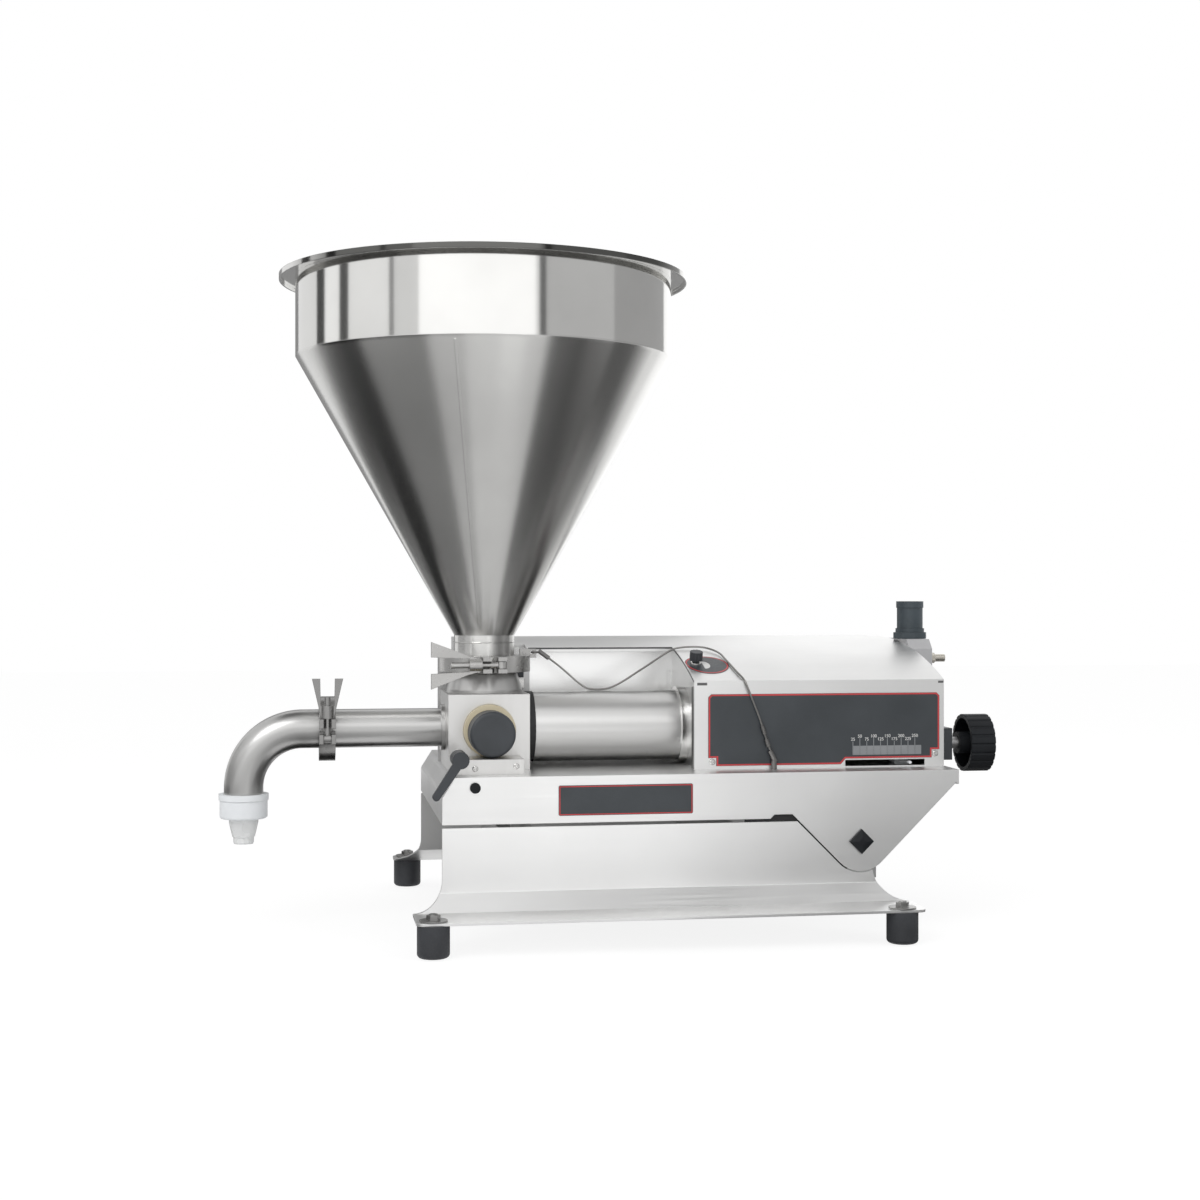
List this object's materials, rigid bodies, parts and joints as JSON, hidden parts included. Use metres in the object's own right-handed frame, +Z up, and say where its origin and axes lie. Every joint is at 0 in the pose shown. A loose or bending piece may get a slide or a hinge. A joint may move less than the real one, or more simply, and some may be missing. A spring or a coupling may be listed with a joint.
{
  "type": "piston batter depositor",
  "caption": "Bench-top piston depositor: conical hopper over a rotary valve, dosing cylinder, drive hood with dose scale and handwheel, bent spout, on a tilting deck and footed base.",
  "frame": {"origin": "on the floor under the middle of the machine's overall length and depth", "axes": "+Z up, +X from the spout towards the handwheel, +Y from the front panel to the back"},
  "size_m": [0.7706, 0.4634, 0.644],
  "materials": {
    "steel_sheet": "brushed stainless sheet",
    "steel_inner": "plain steel",
    "steel_turned": "turned stainless",
    "steel_polished": "polished stainless",
    "steel_cast": "cast stainless, satin",
    "wire": "stranded wire and crimped fittings",
    "foot_rubber": "matt rubber",
    "seal_rubber": "matt rubber",
    "gasket": "pale elastomer",
    "black_plastic": "moulded black plastic",
    "socket_plastic": "dark blue-grey plastic",
    "cream_plastic": "cream engineering plastic",
    "white_plastic": "white engineering plastic",
    "nozzle_plastic": "translucent plastic",
    "label": "printed plate, bare",
    "air_metal": "anodised aluminium",
    "nickel": "nickelled brass"
  },
  "bodies": {
    "base": {"base_rail_front": "steel_sheet", "base_rail_rear": "steel_sheet", "base_ties": "steel_inner", "pivot_lugs": "steel_inner", "pivot_shaft": "steel_inner", "pivot_caps": "black_plastic", "rubber_feet": "foot_rubber", "foot_fixings": "steel_inner"},
    "carriage": {"deck": "steel_sheet", "hood": "steel_sheet", "hood_end_plate": "steel_sheet", "rear_wall": "steel_sheet", "actuator_plate": "steel_inner", "valve_block": "steel_turned", "block_saddle": "steel_turned", "inlet_ferrule": "steel_turned", "dosing_cylinder": "steel_turned", "hopper": "steel_polished", "outlet_tube": "steel_polished", "cylinder_ring": "steel_polished", "hopper_clamp_left": "steel_cast", "hopper_clamp_right": "steel_cast", "hopper_clamp_pins": "steel_cast", "hopper_clamp_bolt": "steel_cast", "spout_clamp_upper": "steel_cast", "spout_clamp_lower": "steel_cast", "spout_clamp_pins": "steel_cast", "spout_clamp_bolt": "steel_cast", "lanyard": "wire", "lanyard_fittings": "wire", "cylinder_seal": "seal_rubber", "hopper_gasket": "gasket", "spout_gasket": "gasket", "deck_plug": "black_plastic", "spindle_bearing": "black_plastic", "pedal_socket": "socket_plastic", "panel_label": "label", "nameplate": "label", "air_barrel": "air_metal", "air_heads": "air_metal", "valve_actuator": "air_metal", "air_manifold": "air_metal", "air_nipple": "nickel"},
    "piston": {"piston": "white_plastic", "piston_seal": "seal_rubber", "piston_rod": "steel_inner", "air_piston": "air_metal"},
    "valve": {"valve_plug": "cream_plastic", "plug_seals": "seal_rubber", "plug_cap": "black_plastic"},
    "lever": {"clamp_lever": "black_plastic"},
    "hopper_nut": {"hopper_wing_nut": "steel_cast"},
    "spout": {"spout_elbow": "steel_polished", "nozzle": "nozzle_plastic"},
    "nozzle_nut": {"nozzle_nut": "white_plastic"},
    "spout_nut": {"spout_wing_nut": "steel_cast"},
    "wheel": {"handwheel": "black_plastic", "spindle": "steel_inner"},
    "stop": {"stop_nut": "white_plastic"},
    "knob": {"speed_knob": "black_plastic"}
  },
  "joints": [
    {"name": "deck_tilt", "type": "hinge", "parent": "base", "child": "carriage", "pos_m": [0.23135, 0, 0.089], "axis": [0, 1, 0], "range_deg": [0, 40]},
    {"name": "piston_slide", "type": "slide", "parent": "carriage", "child": "piston", "axis": [1, 0, 0], "range_m": [0, 0.088]},
    {"name": "valve_turn", "type": "hinge", "parent": "carriage", "child": "valve", "pos_m": [-0.12415, -0.02875, 0.196], "axis": [0, 1, 0], "range_deg": [0, 90]},
    {"name": "lever_turn", "type": "hinge", "parent": "carriage", "child": "lever", "pos_m": [-0.15815, -0.13175, 0.1735], "axis": [0, 1, 0], "range_deg": [0, 120]},
    {"name": "hopper_nut_turn", "type": "hinge", "parent": "carriage", "child": "hopper_nut", "pos_m": [-0.13946, -0.08329, 0.2597], "axis": [0.9962, 0.0872, 0], "continuous": true},
    {"name": "spout_swivel", "type": "hinge", "parent": "carriage", "child": "spout", "pos_m": [-0.28015, -0.02875, 0.196], "axis": [1, 0, 0], "range_deg": [-90, 90]},
    {"name": "nozzle_nut_turn", "type": "hinge", "parent": "spout", "child": "nozzle_nut", "pos_m": [-0.36115, -0.02875, 0.12], "axis": [0, 0, 1], "continuous": true},
    {"name": "spout_nut_turn", "type": "hinge", "parent": "carriage", "child": "spout_nut", "pos_m": [-0.28015, -0.0675, 0.216], "axis": [0, 0, 1], "continuous": true},
    {"name": "wheel_turn", "type": "hinge", "parent": "carriage", "child": "wheel", "pos_m": [0.33385, -0.07575, 0.1775], "axis": [1, 0, 0], "range_deg": [-2520, 360]},
    {"name": "stop_slide", "type": "slide", "parent": "carriage", "child": "stop", "axis": [1, 0, 0], "range_m": [-0.0561, 0.0081]},
    {"name": "knob_turn", "type": "hinge", "parent": "carriage", "child": "knob", "pos_m": [0.08485, -0.06475, 0.25895], "axis": [0, -0.2839, 0.9588], "range_deg": [-135, 135]}
  ],
  "couplings": [
    {"joint": "stop_slide", "follows": "wheel_turn", "m_per_rad": 0.0012732}
  ]
}
